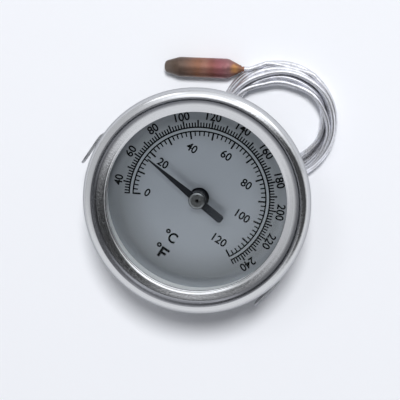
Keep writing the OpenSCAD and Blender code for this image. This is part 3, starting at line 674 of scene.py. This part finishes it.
def print_letter_f(x, y):
    """Prints the bold F, from a stem and two bars: left, right, low and high edge of each."""
    bm = bmesh.new()
    for left, right_end, low, high in ((-1.15, -0.38, -1.55, 1.55), (-0.38, 1.25, 0.85, 1.55),
                                       (-0.38, 0.85, -0.45, 0.25)):
        corners = [(left, low), (right_end, low), (right_end, high), (left, high)]
        floor, top = ([bm.verts.new((x + u, y + v, z)) for u, v in corners] for z in (Z_DIAL, Z_INK))
        bm.faces.new(floor)
        bm.faces.new(top)
        for k in range(4):
            bm.faces.new((floor[k], floor[(k + 1) % 4], top[(k + 1) % 4], top[k]))
    printed_shape("dial_letter_f", bm)


# The angle round the dial for one degree Celsius or Fahrenheit, and how many of these lie between two marks
C_STEP = 2
F_STEP = 10 / 9
MARK_EVERY = 2
print_ticks("dial_celsius_ticks",
            tick_group("celsius_ticks", MARK_EVERY * C_STEP, 0, C_RADIUS, 1.25, 2.05, 0.34, 0.46, False))
print_ticks("dial_fahrenheit_ticks",
            tick_group("fahrenheit_ticks", MARK_EVERY * F_STEP, 1, F_RADIUS, 1.28, 1.95, 0.36, 0.42, True))
print_arc("dial_celsius_arc", C_RADIUS, 0.38, 120.6)
print_arc("dial_fahrenheit_arc", F_RADIUS, 0.4, 120.5)

C_LABELS = [("0", -12.28, -6.58), ("20", -12.97, 2.45), ("40", -8.75, 10.2), ("60", -0.1, 13.56),
            ("80", 8.5, 10.06), ("100", 12.4, 2.27), ("120", 10.8, -6.68)]
for text, x, y in C_LABELS:
    print_text("dial_c_" + text, text, x, y, TEXT_H, text_width(text))
for value in range(40, 241, 20):
    clockwise = -SCALE_END + (value - 32) * F_STEP
    a = math.radians(90 - clockwise)
    out = F_END_LABEL_R if value in (40, 240) else F_LABEL_R
    print_text("dial_f_" + str(value), str(value), out * math.cos(a), out * math.sin(a), TEXT_H,
               text_width(str(value)), turn=-clockwise)

print_degree_ring("dial_degree_c", (-1.95, -12.28), 0.65, 0.44)
print_text("dial_letter_c", "C", 0.0, -13.2, 2.95, 2.3, weight=0.03)
print_degree_ring("dial_degree_f", (-2.0, -16.8), 0.68, 0.46)
print_letter_f(0.1, -18.15)


# Table, room and lamps

TABLE_REACH = 1500
TABLE_DROP = 0.02


def table():
    """The white table, of matt laminate, which also takes the shadow."""
    bm = bmesh.new()
    bmesh.ops.create_grid(bm, x_segments=1, y_segments=1, size=TABLE_REACH)
    bmesh.ops.scale(bm, vec=(MM, MM, MM), verts=bm.verts)
    mesh = bpy.data.meshes.new("table")
    bm.to_mesh(mesh)
    bm.free()
    obj = bpy.data.objects.new("table", mesh)
    scene.collection.objects.link(obj)
    obj.location.z = -TABLE_DROP * MM
    laminate = material("white_table")[0]
    finished(laminate, Base_Color=linear("#f3f5fa"), Roughness=0.7, Specular_IOR_Level=0.2)
    mesh.materials.append(laminate)


# Round patches of the room that metal and glass mirror, each over the ones before it. A row gives how far
# the patch's middle leans east and north of straight up, its radius and its softness, all in degrees, and
# how bright it is on the room's dim side and on its bright side.
ROOM = [
    (4, -76, 42, 14, 1.0, 1.0),
    (-1.5, -9.5, 6, 1.2, 0.1, 1.85),
    (-8, 44, 40, 12, 1.2, 1.2),
    (-12, 24, 18, 6, 1.95, 1.95),
    (3, 62, 14, 4, 2.4, 2.4),
    (-54, 33, 10, 3, 2.4, 2.4),
    (32, 14, 26, 7, 0.075, 0.075),
    (7.4, -1.5, 10.7, 1, 0.035, 0.035),
    (-10.5, -7, 3.3, 1, 0.035, 0.035),
]


def world():
    """The room. Diffuse light comes from a plain pale sky. Metal and glass mirror a room with a bright side,
    a big soft window, and the dark shapes of what stands near the lens."""
    scene.world = bpy.data.worlds.new("room")
    scene.world.use_nodes = True
    tree = scene.world.node_tree
    tree.nodes.clear()
    where = add(tree, "TexCoord")

    def grey(value):
        """A slightly cool grey of any brightness."""
        return (value * 0.985, value, value * 1.03, 1.0)

    dim_way = (-0.766, 0.643, 0.0)
    dim_end, bright_from = -0.135, -0.165
    aside = add(tree, "VectorMath", where, dim_way, operation="DOT_PRODUCT")
    bright_side = add(tree, "MapRange", aside, dim_end, bright_from, **SMOOTH)
    room = add(tree, "Mix", bright_side, grey(0.7), grey(1.0), **COLOUR)
    for east, north, radius, soft, dim, bright in ROOM:
        lean, way = math.radians(math.hypot(east, north)), math.atan2(north, east)
        middle = (math.sin(lean) * math.cos(way), math.sin(lean) * math.sin(way), math.cos(lean))
        close = add(tree, "VectorMath", where, middle, operation="DOT_PRODUCT")
        patch = add(tree, "MapRange", close, math.cos(math.radians(radius + soft)),
                    math.cos(math.radians(radius - soft)), **SMOOTH)
        shade = add(tree, "Mix", bright_side, grey(dim), grey(bright), **COLOUR)
        room = add(tree, "Mix", patch, room, shade, **COLOUR)
    ray = add(tree, "LightPath").node.outputs
    sky = add(tree, "Background", linear("#f4f6fb"), 0.25)
    mirrored = add(tree, "Background", room, 1.0)
    white = add(tree, "Background", linear("#f4f6fc"), 1.0)
    light = add(tree, "MixShader", ray["Is Glossy Ray"], sky, mirrored)
    add(tree, "OutputWorld", add(tree, "MixShader", ray["Is Camera Ray"], light, white))


def lamp(name, azimuth, elevation, distance, size, power):
    """A round soft lamp that points at the gauge, from angles in degrees and a distance in metres."""
    a, e = math.radians(azimuth), math.radians(elevation)
    data = bpy.data.lights.new(name, "AREA")
    data.shape = "DISK"
    data.size = size
    data.energy = power
    obj = bpy.data.objects.new(name, data)
    scene.collection.objects.link(obj)
    way = Vector((math.cos(e) * math.cos(a), math.cos(e) * math.sin(a), math.sin(e)))
    obj.location = way * distance
    obj.rotation_euler = way.to_track_quat("Z", "Y").to_euler()
    obj.visible_glossy = False


table()
world()
lamp("key", 106, 64, 2.0, 0.45, 31)
lamp("side", 150, 62, 2.0, 0.5, 3.0)

scene.view_settings.view_transform = "Standard"
